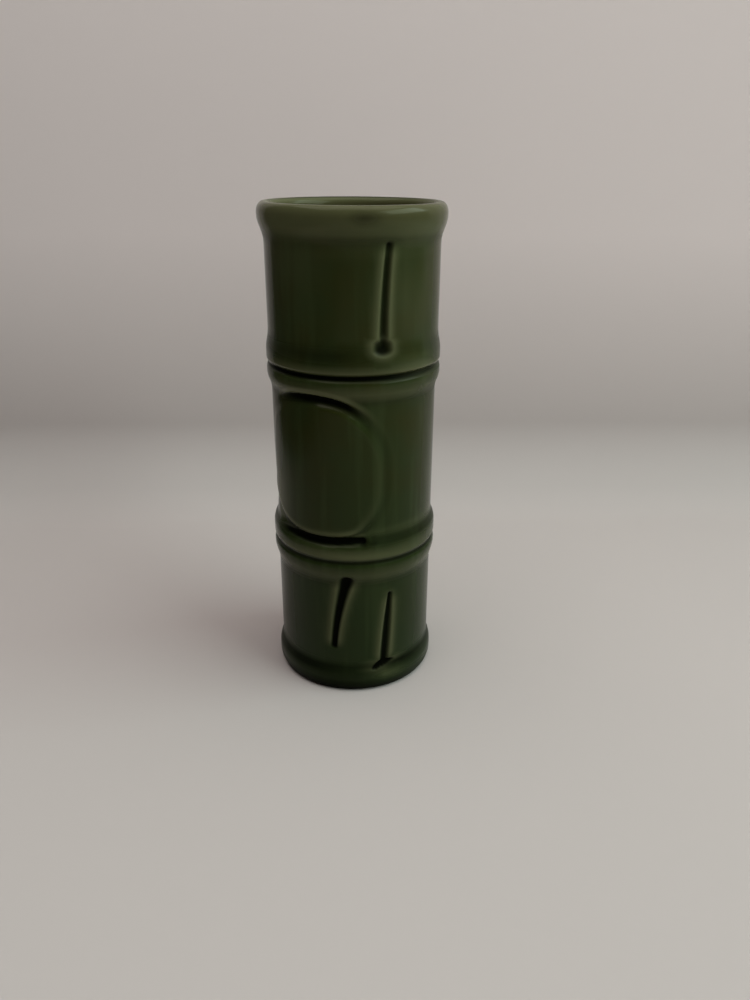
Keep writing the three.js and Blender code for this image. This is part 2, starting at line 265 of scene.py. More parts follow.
def with_boss(turn, z):
    """Radius of the wall with the oval boss in its moat."""
    across, up, share, out = boss_place(turn, z)
    right = rise(across, *RIGHT_FADE)
    top = rise(up, *END_FADE) * rise(across, *TOP_LEFT_FADE) * (1 - rise(across, *TOP_RIGHT_FADE))
    low = rise(-up, *END_FADE) * (1 - rise(across, *LOW_RIGHT_FADE))

    def by_side(sizes):
        size = sizes["left"] + (sizes["right"] - sizes["left"]) * right
        size = size + (sizes["low"] - size) * low
        return size + (sizes["top"] - size) * top

    floor = WALL_R - by_side(MOAT_DEPTH)
    inside = np.clip(-out / by_side(BOSS_SLOPE), 0, 1)
    climb = (1 - low) * rise(inside, 0, 1) + low * np.sqrt(1 - (1 - inside) ** 2)
    island = floor + (WALL_R + BOSS_RISE * (1 - DOME_FALL * share ** 2) - floor) * climb
    bank = rise(out, by_side(MOAT_FLOOR), by_side(MOAT_BANK))
    side = rise(np.abs(turned_from(turn, 0)), *GROOVE_SIDE_TURNS)
    shore = floor + (wall(z, side) - floor) * bank
    beside = bump(turned_from(turn, SCOOP_TURN), 0, SCOOP_HALF_TURN)
    shore = shore - SCOOP_DEPTH * beside * bump(z, SCOOP_Z, SCOOP_HALF_HEIGHT)
    return slotted(turn, z, np.where(out < 0, island, shore))


print("boss: centre", BOSS_TURN, "degrees,", BOSS_Z, "mm up")

# %% [markdown]
# ## Drying cracks
# Old cane splits as it dries, and the modeller cut such splits into the stretches: a long one that runs down
# into a round knot hole, and two below, one of which forks where it reaches the foot. The clay that the tool
# pushed aside stands up as a soft lip along each split. Each is a line on the wall with a width that changes
# along it. Distance from the line gives the valley and its lips, so ends and forks melt into each other.

# %% Write the cracks as a rule
CRACK_END_SQUARENESS = 1.6
CRACK_LIP_WIDTH = 3.6
CRACK_LIP_RISE = 0.15
CRACK_LIP_PAST = 1.5
CRACK_LIP_FADE = 4
CRACK_SIDES = (0, 180)
KNOT_Z = UPPER_RING_Z + 9.8

# Turns and half widths are at the bottom, the middle and the top. Softness is the share of the half width
# over which the sides slope, to each side of the edge. Round lip is the share of the lip round the ends.
Crack = namedtuple("Crack", "low high turns widths depth softness round_lip")
CRACKS = (
    Crack(KNOT_Z, HEIGHT - 11.2, (18.9, 19.6, 22.2), (1.25, 1.05, 0.95), 0.9, 0.75, 0),
    Crack(KNOT_Z - 0.7, KNOT_Z + 0.7, (18.4, 18.4, 18.4), (2.5, 2.5, 2.5), 0.8, 0.55, 0.9),
    Crack(FOOT_BAND + 13.2, LOWER_RING_Z - 7.4, (-15.8, -12.3, -5.6), (1.0, 1.25, 2.0), 1.3, 0.7, 0),
    Crack(FOOT_BAND + 5.6, LOWER_RING_Z - 14.5, (21.6, 23.8, 26.2), (1.35, 1.3, 0.7), 0.95, 0.65, 0.3),
    Crack(FOOT_BAND + 3.4, FOOT_BAND + 5.6, (14.6, 18.6, 22.6), (0.5, 1.0, 1.3), 1.0, 0.6, 0.6),
)


def bowed(values, along):
    """Value part of the way along a curve through a start, a middle and an end."""
    start, middle, end = values
    bow = 4 * (middle - (start + end) / 2)
    return start + (end - start) * along + bow * along * (1 - along)


def crack_place(crack, side, turn, z):
    """Distance to the side of a crack's line and in from its nearer end, and its half width there."""
    length = crack.high - crack.low
    along = np.clip((z - crack.low) / length, 0, 1)
    slant = math.cos(math.atan2(math.radians(crack.turns[2] - crack.turns[0]) * WALL_R, length))
    across = np.radians(turned_from(turn, bowed(crack.turns, along) + side)) * WALL_R * slant
    inward = np.minimum(z - crack.low, crack.high - z)
    return across, inward, bowed(crack.widths, along)


def cracked(turn, z):
    """Depth of the cracks at each point, and a share for how close it lies beside one."""
    valley = np.zeros_like(z)
    lip = np.zeros_like(z)
    for side in CRACK_SIDES:
        for crack in CRACKS:
            across, inward, half = crack_place(crack, side, turn, z)
            distance = np.hypot(across, np.minimum(inward, 0) * CRACK_END_SQUARENESS)
            edge = half * (1 + crack.softness)
            floor = 1 - rise(distance, half * (1 - crack.softness), edge)
            valley = np.maximum(valley, crack.depth * floor)
            beside = np.clip(1 - (distance - edge) / CRACK_LIP_WIDTH, 0, 1) ** 2
            beside = beside * rise(distance, half * (1 - crack.softness), edge)
            ends = np.maximum(rise(inward, -CRACK_LIP_PAST, CRACK_LIP_FADE), crack.round_lip)
            lip = np.maximum(lip, beside * ends)
    return valley, lip


def carved(turn, z):
    """Radius of the finished surface: the wall with its boss and its cracks."""
    valley, lip = cracked(turn, z)
    return with_boss(turn, z) - valley + CRACK_LIP_RISE * lip


print("cracks:", len(CRACKS), "lines on", len(CRACK_SIDES), "sides")

# %% [markdown]
# ## From rule to mesh
# A turned form starts as half of its outline, spun once round the axis. The carving needs small faces only
# where it is, so faces near it are split in four, twice, and then every point of the wall moves straight in
# or out to its place on the rule. Sculpting by hand or a displacement texture would do it as well, but the
# rule leaves the same surface each time and keeps crisp edges where the mesh is fine.

# %% Helpers for turned and carved meshes
COLUMNS = 128
ROW = 1.6
ROW_CLEARANCE = 0.2
GROOVE_ROWS = 10
ARC_STEPS = 8
WELD = 1e-4
SLACK = 0.01
NEAR_BOSS = 4.4
NEAR_CRACK = 3.4
DEEPEST = 3.4


def arc(middle, across, up, start, end, steps=ARC_STEPS):
    """Points round part of an ellipse, from one angle to another."""
    angles = np.radians(np.linspace(start, end, steps + 1))
    return [(middle[0] + across * math.cos(a), middle[1] + up * math.sin(a)) for a in angles]


def wall_rows(row):
    """Heights for the rows of the wall: even ones, and closer ones across each groove."""
    rows = list(np.linspace(FOOT_ROUND_HEIGHT, LIP_Z, round((LIP_Z - FOOT_ROUND_HEIGHT) / row) + 1))
    for height, width, _, _ in GROOVES:
        rows = [z for z in rows if abs(z - height) > 0.5 * width + ROW_CLEARANCE * row]
        rows += list(np.linspace(height - width / 2, height + width / 2, GROOVE_ROWS + 1))
    return sorted(rows)


def turn_on_axis(profile, columns):
    """A bmesh of a profile of radii and heights, spun once round the axis."""
    bm = bmesh.new()
    line = [bm.verts.new((0, -r, z)) for r, z in profile]
    edges = [bm.edges.new(pair) for pair in zip(line, line[1:])]
    bmesh.ops.spin(
        bm, geom=line + edges, cent=(0, 0, 0), axis=(0, 0, 1),
        angle=2 * math.pi, steps=columns, use_merge=True,
    )
    bmesh.ops.remove_doubles(bm, verts=bm.verts, dist=WELD)
    bmesh.ops.recalc_face_normals(bm, faces=bm.faces)
    return bm


def polar(points):
    """Turn, height and radius of each point. Turns start at the front and grow towards the right."""
    x, y, z = np.array(points).T
    return np.degrees(np.arctan2(x, -y)), z, np.hypot(x, y)


def on_wall(z, radius):
    """True for points of the outside wall, between the rounding of the foot and the bead of the lip."""
    return (wall(z) - radius < DEEPEST) & (z > FOOT_ROUND_HEIGHT - SLACK) & (z < LIP_Z + SLACK)


def near_carving(turn, z):
    """True where the boss's outline or a crack is close."""
    near = np.abs(boss_place(turn, z)[3]) < NEAR_BOSS
    for side in CRACK_SIDES:
        for crack in CRACKS:
            across, inward, half = crack_place(crack, side, turn, z)
            near |= np.hypot(across, np.minimum(inward, 0)) < half + NEAR_CRACK
    return near


def split_near_carving(bm, rounds):
    """Split the faces near the carving in four, and those in four again, and so on."""
    for _ in range(rounds):
        faces = list(bm.faces)
        turn, z, radius = polar([f.calc_center_median() for f in faces])
        wanted = near_carving(turn, z) & on_wall(z, radius)
        edges = dict.fromkeys(e for f, split in zip(faces, wanted) if split for e in f.edges)
        bmesh.ops.subdivide_edges(bm, edges=list(edges), cuts=1, use_grid_fill=True)


def move_to(bm, rule):
    """Move each point of the outside wall straight in or out to the radius that a rule gives."""
    turn, z, radius = polar([v.co for v in bm.verts])
    wanted = on_wall(z, radius)
    scale = np.where(wanted, rule(turn, z) / np.maximum(radius, 1), 1)
    for v, factor in zip(bm.verts, scale):
        v.co.x *= factor
        v.co.y *= factor


def make_smooth(name, bm):
    """Scale a bmesh to metres and make it a smooth object of the scene."""
    bmesh.ops.scale(bm, vec=(MM, MM, MM), verts=bm.verts)
    mesh = bpy.data.meshes.new(name)
    bm.to_mesh(mesh)
    bm.free()
    mesh.polygons.foreach_set("use_smooth", [True] * len(mesh.polygons))
    made = bpy.data.objects.new(name, mesh)
    bpy.context.scene.collection.objects.link(made)
    print(name + ":", len(mesh.vertices), "points,", len(mesh.polygons), "faces")
    return made


def finish_piece(name, bm):
    """Make a bmesh a smooth object that is fixed to the vase."""
    piece = make_smooth(name, bm)
    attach(piece, "root")
    return piece


# %% [markdown]
# ## Coat of glaze
# The glaze is a skin of coloured glass about half a millimetre thick, poured inside and dipped outside, and
# it runs unbroken over the lip. It stops just above the bare foot ring. Only the side that shows is modelled
# here, from the foot up over the lip and down to the floor inside. A Solidify modifier gives it thickness.

# %% Make the coat of glaze
GLAZE = 0.5
BARE_EDGE = 0.3
BEAD_OUTER_WIDTH = 2.4
BEAD_WIDTH = 4.5
CREST_R = LIP_R - BEAD_OUTER_WIDTH
MOUTH_R = LIP_R - BEAD_WIDTH
MOUTH_FLARE = 12
FOOT_ROUND_WIDTH = 2.25
FOOT_EDGE_R = FOOT_R - FOOT_ROUND_WIDTH
WALL_THICKNESS = 4.5
INNER_R = WALL_R - WALL_THICKNESS
INNER_UPPER_R = UPPER_WALL_R - WALL_THICKNESS
FLOOR_FILLET = 9
FLOOR_POINTS = 5
FLOOR_Z = round(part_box("liner_glaze")[0].z / MM, 2) + GLAZE
INNER_ROW = 6

INNER_STATIONS = (
    (FLOOR_Z + FLOOR_FILLET, INNER_R),
    (UPPER_RING_Z - RING_RUN, INNER_R),
    (UPPER_RING_Z + RING_RUN, INNER_UPPER_R),
    (LIP_Z - MOUTH_FLARE, INNER_UPPER_R),
    (LIP_Z, MOUTH_R),
)


def foot_round(inset, start):
    """Rounding under the foot band, up to the wall."""
    return arc((FOOT_EDGE_R, FOOT_ROUND_HEIGHT), FOOT_ROUND_WIDTH - inset, FOOT_ROUND_HEIGHT, start, 0)


def lip_bead(inset):
    """Bead of the lip, from the wall over the crest to the mouth."""
    middle = (CREST_R, LIP_Z)
    outer = arc(middle, LIP_R - CREST_R - inset, LIP_DEPTH - inset, 0, 90)
    inner = arc(middle, CREST_R - MOUTH_R - inset, LIP_DEPTH - inset, 90, 180)
    return outer + inner[1:]


def inside_wall(inset):
    """Wall inside, from the mouth down to the middle of the floor."""
    low = FLOOR_Z + FLOOR_FILLET
    heights = np.linspace(LIP_Z, low, round((LIP_Z - low) / INNER_ROW) + 1)
    side = [(eased(INNER_STATIONS, z) + inset, z) for z in heights]
    fillet = arc((INNER_R - FLOOR_FILLET, low), FLOOR_FILLET + inset, FLOOR_FILLET + inset, 0, -90)
    floor = [(r, FLOOR_Z - inset) for r in np.linspace(INNER_R - FLOOR_FILLET, 0, FLOOR_POINTS)]
    return side + fillet[1:] + floor[1:]


edge_angle = -math.degrees(math.asin(1 - BARE_EDGE / FOOT_ROUND_HEIGHT))
wall_line = [(wall(z), z) for z in wall_rows(ROW)]
skin = foot_round(0, edge_angle)[:-1] + wall_line + lip_bead(0)[1:] + inside_wall(0)[1:]
coat_mesh = turn_on_axis(skin, COLUMNS)
split_near_carving(coat_mesh, 2)
move_to(coat_mesh, carved)
coat = finish_piece("green_glaze_coat", coat_mesh)
thickness = coat.modifiers.new("coat thickness", "SOLIDIFY")
thickness.thickness = GLAZE * MM
thickness.offset = -1
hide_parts("outer_glaze", "liner_glaze")

# %% [markdown]
# ## Where the glaze gathers, with painted light and shade
# Molten glaze pools in hollows, where it turns nearly black, and runs down off edges, which it leaves
# thin and pale. That could be painted by hand. Here each point is compared with points round it on the
# rule: in a hollow the ring round it stands higher, and above an edge the lower half of the ring falls
# away. The near-black in hollows, slots and cracks is pooled glaze and painted shade together. On top go
# painted shade on faces that tilt up, at the foot and low on the wall, painted sheen on faces that tilt
# down, thin glaze with painted sheen on the lip and just inside the mouth, and painted light and shade in
# most of the marks. The answers are stored on the mesh as attributes, with a few smudges and specks, so
# carving and colour never drift apart.

# %% Store how the glaze gathers and where light and shade are painted
POOL_REACH = 2.0
FULL_POOL = 0.65
THIN_REACH = 2.2
FULL_THIN = 1.1
RING_POINTS = 12
LIP_OF_CRACK_THIN = 1
DEEP_CRACK = 1.2
DEEP_SLOT = (0.9, 1.8)
SLOPE_STEP = 0.5
STEEP = 0.3
# Painted shade on faces that tilt up and painted sheen on faces that tilt down
FACING_UP_SHADE = 0.3
FACING_DOWN_SHEEN = 0.1
# Thin glaze with painted sheen near the lip, outside
LIP_THIN_AND_SHEEN = 0.3
LIP_THIN_AND_SHEEN_Z = LIP_Z - 3
# Thin glaze with painted light just inside the mouth
LINER_THIN_AND_LIGHT = 0.95
LINER_THIN_AND_LIGHT_Z = LIP_Z + 1
# Painted shade at the foot, where it meets the floor
FOOT_SHADE = 0.7
# Painted shade that grows towards the bottom of the wall
LOWER_WALL_SHADE = 0.2

# Turn, height, half width, half height, and a share of pooled glaze and painted shade, or, if less than
# nothing, of thin glaze and painted light. Most entries are painted shade and painted light in small
# places. The smudge on the lip, the faint line and the small specks belong to the glaze.
PAINTED_LIGHT_AND_MARKS = (
    # On the lip
    # Painted shade along the crest of the back rim
    (180, HEIGHT, 45, 0.4, 0.8),
    (6.6, HEIGHT - 3.6, 4.2, 1.8, 0.55),
    (-45, 170.5, 16, 3.5, -0.6),
    (0, 165.2, 80, 1.2, 0.15),
    # On the upper stretch
    (0, 161.5, 80, 2.2, -0.1),
    (-12.6, 159, 0.8, 2.5, 0.12),
    (-42, 158, 12, 7, -0.2),
    (7.1, 153, 0.4, 7, -0.2),
    (-12.9, 150.4, 0.6, 1.8, 0.15),
    # Painted sheen on the right of the upper stretch
    (33, 150, 2.4, 14, -0.15),
    (46, 148, 9, 18, -0.25),
    (-40, 147, 16, 18, -0.12),
    # Round the upper collar
    (-28, 129.5, 17, 2.2, 0.4),
    (-9.2, 129.3, 4, 1.2, 0.15),
    (40, UPPER_RING_Z + 4.5, 10, 2, -0.25),
    (66, UPPER_RING_Z + 3.5, 12, 3, 0.15),
    (-2, UPPER_RING_Z + 3.2, 18, 1.6, 0.12),
    (45, UPPER_RING_Z + 2.2, 25, 0.9, 0.2),
    # Painted light from the right in the groove
    (54, UPPER_RING_Z, 14, 2, -0.3),
    # Painted shade over the gloss under the groove on the right
    (50, UPPER_RING_Z - 1.2, 26, 0.6, 0.6),
    (35, UPPER_RING_Z - 4, 16, 2, 0.1),
    (46.9, 117.8, 0.6, 1.0, 0.3),
    (66, UPPER_RING_Z - 5.5, 12, 3, 0.25),
    # Beside the boss
    (-68, 76, 6, 11, -0.6),
    # Round the lower collar
    # Painted light above the lower collar at the right, and a painted crease of shade at its top
    (50, 66.6, 28, 1.8, -0.2),
    (50, 63.4, 28, 1, 0.15),
    (13.5, 62.9, 1.4, 0.5, 0.25),
    (52.1, 62.8, 0.8, 0.8, 0.3),
    (15.2, 62.1, 0.35, 0.3, -0.7),
    (10.5, 61.1, 0.3, 0.3, -0.7),
    (40, 60.6, 14, 1.5, -0.1),
    (-4, 58.6, 24, 1.8, -0.6),
    (50, 57.6, 26, 1.2, 0.12),
    # On the lower stretch and the foot
    (10.6, 30.1, 0.3, 0.4, 0.3),
    # Painted shade in the crease above the foot
    (38, 10, 8, 1.6, 0.25),
    (-42, 9.2, 14, 1.4, 0.35),
    # Painted light on the foot band at the right
    (25, 6.8, 6, 2, -0.35),
    # Painted shadow on the foot at the front, where it meets the floor
    (-14, 4.5, 18, 3.5, 0.35),
)


def ring_mean(turn, z, reach, start):
    """Mean radius of points on a ring round each point, from an angle round to the full circle."""
    angles = np.linspace(start, 2 * math.pi, RING_POINTS, endpoint=start > 0)
    sides = [math.degrees(reach * math.cos(a) / WALL_R) for a in angles]
    ring = [with_boss(turn + side, z + reach * math.sin(a)) for side, a in zip(sides, angles)]
    return sum(ring) / RING_POINTS


def store(name, values):
    """Store a number for each point of the coat as an attribute."""
    layer = coat.data.attributes.new(name, "FLOAT", "POINT")
    layer.data.foreach_set("value", np.clip(values, 0, 1).astype(np.float32))
    print(name, "from", round(float(values.min()), 2), "to", round(float(values.max()), 2))


turn, z, radius = polar([v.co / MM for v in coat.data.vertices])
outside = on_wall(z, radius)
skirt = np.where(z > LIP_Z, radius > CREST_R, wall(z) - radius < DEEPEST)
glazed = skirt | (z > LIP_Z)
here = with_boss(turn, z)
valley, crack_lip = cracked(turn, z)
# Darkening in hollows: pooled glaze and painted shade together
pool_and_shade = outside * np.clip((ring_mean(turn, z, POOL_REACH, 0) - here) / FULL_POOL, 0, 1)
thin_and_light = outside * np.clip((here - ring_mean(turn, z, THIN_REACH, math.pi)) / FULL_THIN, 0, 1)
pool_and_shade = np.maximum(pool_and_shade, outside * rise(wall(z) - here, *DEEP_SLOT))
pool_and_shade += outside * valley / DEEP_CRACK
thin_and_light += outside * LIP_OF_CRACK_THIN * crack_lip
# Painted shade on faces that tilt up, painted sheen on faces that tilt down, painted shade at the foot and
# growing towards the bottom, and thin glaze with painted sheen on the lip and just inside the mouth
slope = eased(WALL_STATIONS, z + SLOPE_STEP) - eased(WALL_STATIONS, z - SLOPE_STEP)
facing_down = skirt * slope / STEEP
pool_and_shade += FACING_UP_SHADE * np.clip(-facing_down, 0, 1)
thin_and_light += FACING_DOWN_SHEEN * np.clip(facing_down, 0, 1)
pool_and_shade += skirt * FOOT_SHADE * (1 - rise(z, 0, FOOT_BAND))
pool_and_shade += skirt * LOWER_WALL_SHADE * (1 - rise(z, 0, UPPER_RING_Z))
thin_and_light += np.where(skirt, LIP_THIN_AND_SHEEN, 0) * rise(z, LIP_THIN_AND_SHEEN_Z, HEIGHT)
thin_and_light += np.where(skirt, 0, LINER_THIN_AND_LIGHT) * rise(z, LINER_THIN_AND_LIGHT_Z, HEIGHT)
for middle, height, half_width, half_height, share in PAINTED_LIGHT_AND_MARKS:
    across = np.radians(turned_from(turn, middle)) * WALL_R
    mark = glazed * abs(share) * bump(across, 0, half_width) * bump(z, height, half_height)
    if share > 0:
        pool_and_shade += mark
    else:
        thin_and_light += mark
        pool_and_shade -= mark
store("glaze_pool_and_shade", pool_and_shade)
store("glaze_thin_and_light", thin_and_light)

# %% [markdown]
# ## Clay under the glaze
# The cast clay is hidden but for the ring that the vase stands on, left bare so that it wouldn't stick to
# the kiln shelf, with a shallow recess inside it. The wall under the glaze follows the same carving, set
# in. Its hollows are a little wider than those of the glaze: each point takes the lowest of the places
# round it, so the coarser clay never cuts through its coat.

# %% Make the clay
SEAT_GAP = 0.3
CLAY_INSET = GLAZE + SEAT_GAP
CLAY_COLUMNS = 96
CLAY_ROW = 2
CLAY_REACH = 1.0
FOOT_RING_WIDTH = 4
FOOT_RING_EDGE = 0.3
FOOT_ROUND_START = -80
FOOT_INNER_R = FOOT_EDGE_R - FOOT_RING_WIDTH
RECESS_SLOPE = 1.2
RECESS_RIM = 4
RECESS_R = FOOT_INNER_R - RECESS_SLOPE
RECESS_Z = round(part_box("underside_glaze")[1].z / MM, 2) + SEAT_GAP


def clay_wall(turn, z):
    """Radius of the clay: the lowest of the carved places close by, set in by the coat and its gap."""
    lowest = carved(turn, z)
    for angle in np.linspace(0, 2 * math.pi, RING_POINTS, endpoint=False):
        side = math.degrees(CLAY_REACH * math.cos(angle) / WALL_R)
        lowest = np.minimum(lowest, carved(turn + side, z + CLAY_REACH * math.sin(angle)))
    return lowest - CLAY_INSET


recess = [(0, RECESS_Z), (RECESS_R - RECESS_RIM, RECESS_Z), (RECESS_R, RECESS_Z)]
ring_face = [(FOOT_INNER_R + FOOT_RING_EDGE, 0), (FOOT_EDGE_R - FOOT_RING_EDGE, 0)]
clay_line = [(wall(z) - CLAY_INSET, z) for z in wall_rows(CLAY_ROW)]
outline = recess + ring_face + foot_round(CLAY_INSET, FOOT_ROUND_START)[:-1] + clay_line
outline += lip_bead(CLAY_INSET)[1:] + inside_wall(CLAY_INSET)[1:]
clay_mesh = turn_on_axis(outline, CLAY_COLUMNS)
split_near_carving(clay_mesh, 1)
move_to(clay_mesh, clay_wall)
clay = finish_piece("cast_clay", clay_mesh)
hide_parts("clay_body")

# %% [markdown]
# ## Glaze in the recess
# Potters leave a pool of glaze inside the foot ring, so that the underside holds no water. It is a thin
# round cushion with a soft edge, and its outline is spun like the rest.

# %% Make the glaze in the recess
POOL_TOP = RECESS_Z - SEAT_GAP
POOL_R = RECESS_R - SEAT_GAP
EDGE_STEPS = 6

soft_edge = arc((POOL_R - GLAZE, POOL_TOP), GLAZE, GLAZE, -90, 0, EDGE_STEPS)
cushion = [(0, POOL_TOP - GLAZE), (POOL_R / 2, POOL_TOP - GLAZE)] + soft_edge + [(0, POOL_TOP)]
recess_glaze = finish_piece("recess_glaze", turn_on_axis(cushion, CLAY_COLUMNS))
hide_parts("underside_glaze")

# %% [markdown]
# ## Finishes
# A material is a small tree of nodes. Each colour below is written as it looks on a screen and turned to the
# linear light that a shader works in. Every pattern takes its scale from a real size, and reads Object
# coordinates, so that it stays on the clay when the vase is turned.

# %% Helpers for materials


def linear(hex_colour):
    """Linear red, green, blue and alpha of an sRGB hex colour."""
    shares = [int(hex_colour[i:i + 2], 16) / 255 for i in (1, 3, 5)]
    light = [s / 12.92 if s <= 0.04045 else ((s + 0.055) / 1.055) ** 2.4 for s in shares]
    return (*light, 1)


def per(size):
    """Scale of a pattern whose marks are about this many millimetres across."""
    return 1 / (size * MM)


def add(tree, kind, settings, inputs):
    """Add a node with its settings. Each input is a value to set or another node's output to link."""
    made = tree.nodes.new(kind)
    for name, value in settings.items():
        setattr(made, name, value)
    for key, value in inputs.items():
        if isinstance(value, bpy.types.NodeSocket):
            tree.links.new(value, made.inputs[key])
        else:
            made.inputs[key].default_value = value
    return made


def new_material(name):
    """An empty material's node tree, with its surface output."""
    material = bpy.data.materials.new(name)
    material.use_nodes = True
    material.node_tree.nodes.clear()
    return material, material.node_tree


# %% [markdown]
# ## Gloss green glaze
# This is a lead-free copper and iron glaze, fired glossy: a dark olive green that turns bluer where it is
# clean, browner and paler where it ran thin, and nearly black where it pooled. The pale and near-black
# colours also paint light and shade, where the stored shares carry it. What gives it life is that
# unevenness: clouds a few centimetres wide, faint runs down the wall, and a scatter of pinholes. The surface
# is glass, so it is smooth, with a slight ripple that softens what it mirrors.

# %% Make the glaze
glaze, tree = new_material("gloss_green_glaze")
place = add(tree, "ShaderNodeTexCoord", {}, {}).outputs["Object"]
clouds = add(tree, "ShaderNodeTexNoise", {}, {"Vector": place, "Scale": per(22), "Detail": 3})
down = add(tree, "ShaderNodeMapping", {}, {"Vector": place, "Scale": (1, 1, 0.08)})
runs = add(tree, "ShaderNodeTexNoise", {}, {"Vector": down.outputs[0], "Scale": per(5), "Detail": 2})
pool_and_shade_share = add(tree, "ShaderNodeAttribute", {"attribute_name": "glaze_pool_and_shade"}, {}).outputs["Fac"]
thin_and_light_share = add(tree, "ShaderNodeAttribute", {"attribute_name": "glaze_thin_and_light"}, {}).outputs["Fac"]
height = add(tree, "ShaderNodeSeparateXYZ", {}, {"Vector": place}).outputs["Z"]

cloudy = add(
    tree, "ShaderNodeMapRange", {"interpolation_type": "SMOOTHSTEP"},
    {"Value": clouds.outputs["Fac"], "From Min": 0.35, "From Max": 0.65},
).outputs["Result"]
body = add(
    tree, "ShaderNodeMix", {"data_type": "RGBA"},
    {"Factor": cloudy, 6: linear("#2d3013"), 7: linear("#2a3318")},
).outputs[2]
low_down = add(
    tree, "ShaderNodeMapRange", {"interpolation_type": "SMOOTHSTEP"},
    {"Value": height, "From Min": 10 * MM, "From Max": 120 * MM, "To Min": 0.8, "To Max": 0},
).outputs["Result"]
greener = add(
    tree, "ShaderNodeMix", {"data_type": "RGBA"},
    {"Factor": low_down, 6: body, 7: linear("#25331a")},
).outputs[2]
streaky = add(
    tree, "ShaderNodeMapRange", {"interpolation_type": "SMOOTHSTEP"},
    {"Value": runs.outputs["Fac"], "From Min": 0.5, "From Max": 0.7, "To Max": 0.35},
).outputs["Result"]
streaked = add(
    tree, "ShaderNodeMix", {"data_type": "RGBA"},
    {"Factor": streaky, 6: greener, 7: linear("#384427")},
).outputs[2]
by_lip = add(
    tree, "ShaderNodeMapRange", {"interpolation_type": "SMOOTHSTEP"},
    {"Value": height, "From Min": (LIP_Z - 6.5) * MM, "From Max": (LIP_Z + 1.5) * MM, "To Max": 0.9},
).outputs["Result"]
toasted = add(
    tree, "ShaderNodeMix", {"data_type": "RGBA"},
    {"Factor": by_lip, 6: streaked, 7: linear("#4b482f")},
).outputs[2]
# Pale where the glaze ran thin, and painted light and sheen
paled_and_lit = add(
    tree, "ShaderNodeMix", {"data_type": "RGBA"},
    {"Factor": thin_and_light_share, 6: toasted, 7: linear("#5c5f42")},
).outputs[2]
# Near black where the glaze pooled, and painted shade
pooled_and_shaded = add(
    tree, "ShaderNodeMix", {"data_type": "RGBA"},
    {"Factor": pool_and_shade_share, 6: paled_and_lit, 7: linear("#060803")},
).outputs[2]
ripple = add(
    tree, "ShaderNodeBump", {},
    {"Height": runs.outputs["Fac"], "Strength": 0.25, "Distance": 0.1 * MM},
).outputs["Normal"]
dulled = add(
    tree, "ShaderNodeMapRange", {},
    {"Value": pool_and_shade_share, "To Min": 0.17, "To Max": 0.6},
).outputs["Result"]
shine = add(
    tree, "ShaderNodeMapRange", {},
    {"Value": pool_and_shade_share, "To Min": 0.19, "To Max": 0.03},
).outputs["Result"]
glass = add(
    tree, "ShaderNodeBsdfPrincipled", {},
    {
        "Base Color": pooled_and_shaded, "Roughness": dulled, "Normal": ripple,
        "Specular IOR Level": shine, "Specular Tint": linear("#c8c4b0"),
    },
)
add(tree, "ShaderNodeOutputMaterial", {}, {"Surface": glass.outputs[0]})
for piece in (coat, recess_glaze):
    piece.data.materials.append(glaze)
print("glaze:", len(tree.nodes), "nodes")

# %% [markdown]
# ## Bare clay
# The foot ring is biscuit-fired white earthenware: matt, slightly sandy, and a warm buff where the kiln
# toasted it.

# %% Make the bare clay
biscuit, tree = new_material("biscuit_earthenware")
place = add(tree, "ShaderNodeTexCoord", {}, {}).outputs["Object"]
blush = add(tree, "ShaderNodeTexNoise", {}, {"Vector": place, "Scale": per(12), "Detail": 3})
sand = add(tree, "ShaderNodeTexNoise", {}, {"Vector": place, "Scale": per(0.8), "Detail": 2})
buff = add(
    tree, "ShaderNodeMix", {"data_type": "RGBA"},
    {"Factor": blush.outputs["Fac"], 6: linear("#d6c6a8"), 7: linear("#b99b74")},
).outputs[2]
grain = add(
    tree, "ShaderNodeBump", {},
    {"Height": sand.outputs["Fac"], "Strength": 0.4, "Distance": 0.1 * MM},
).outputs["Normal"]
earth = add(
    tree, "ShaderNodeBsdfPrincipled", {},
    {"Base Color": buff, "Roughness": 0.85, "Normal": grain},
)
add(tree, "ShaderNodeOutputMaterial", {}, {"Surface": earth.outputs[0]})
clay.data.materials.append(biscuit)
print("clay:", len(tree.nodes), "nodes")

# %% [markdown]
# ## Stage
# The vase stands on a plain pale sweep, a floor that curves up close behind it, so that no horizon line
# shows. A polished glaze mirrors whatever is round it, so the sweep is part of the look: a wall of the vase
# seen from above mirrors the floor in front of it. The sheet ends just outside the picture at the left, and
# its edge shows as a soft grey band in the gloss on that side. Views from other sides would show that edge
# too, so a second sheet goes on from there for the camera alone, which the gloss and the light don't meet.

# %% Make the sweep
SWEEP_START = 120
SWEEP_RADIUS = 45
SWEEP_REACH = 2500
SWEEP_LEFT = -260
SWEEP_RIGHT = 900
SWEEP_TOP = 800
BEND_STEPS = 24


